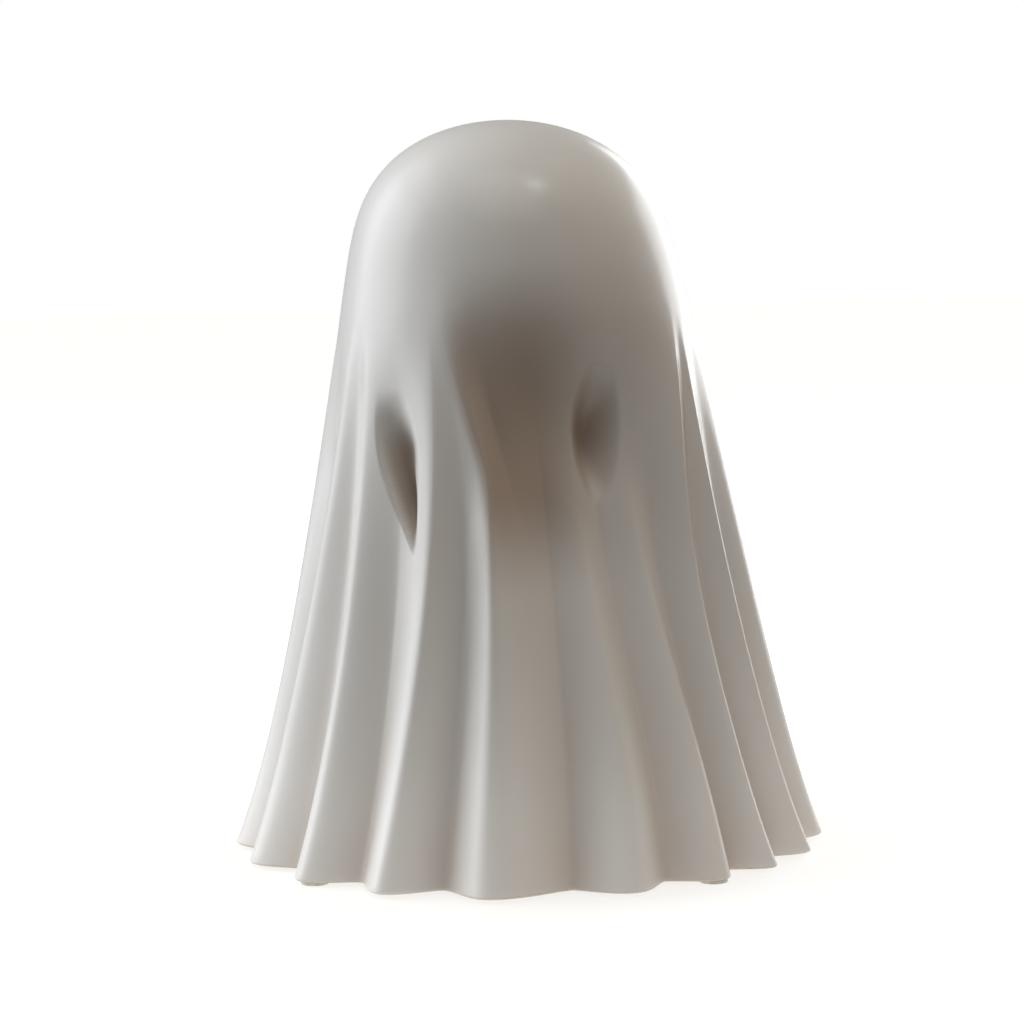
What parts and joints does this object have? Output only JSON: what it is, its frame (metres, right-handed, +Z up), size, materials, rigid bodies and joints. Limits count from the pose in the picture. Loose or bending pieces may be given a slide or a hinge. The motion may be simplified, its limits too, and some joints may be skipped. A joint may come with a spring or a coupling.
{
  "type": "ceramic ghost figure",
  "caption": "Free-standing glazed ceramic ghost: a sheet draped over a round head, with pressed eye hollows and pleats down to a wavy hem, hollow and open below, on felt pads.",
  "frame": {"origin": "middle of the figure's footprint, on the surface that it stands on", "axes": "+Z up through the crown, the face looks along -Y, +X is to the right as seen from the front"},
  "size_m": [0.161, 0.1626, 0.2],
  "materials": {
    "glazed_ceramic": "satin off-white glaze over a light stoneware body, bare on the foot rim",
    "felt": "short pressed wool felt, cut in discs"
  },
  "bodies": {
    "root": {"ghost_shell": "glazed_ceramic", "felt_pad_front_left": "felt", "felt_pad_front_right": "felt", "felt_pad_rear_right": "felt", "felt_pad_rear_left": "felt"}
  },
  "joints": []
}
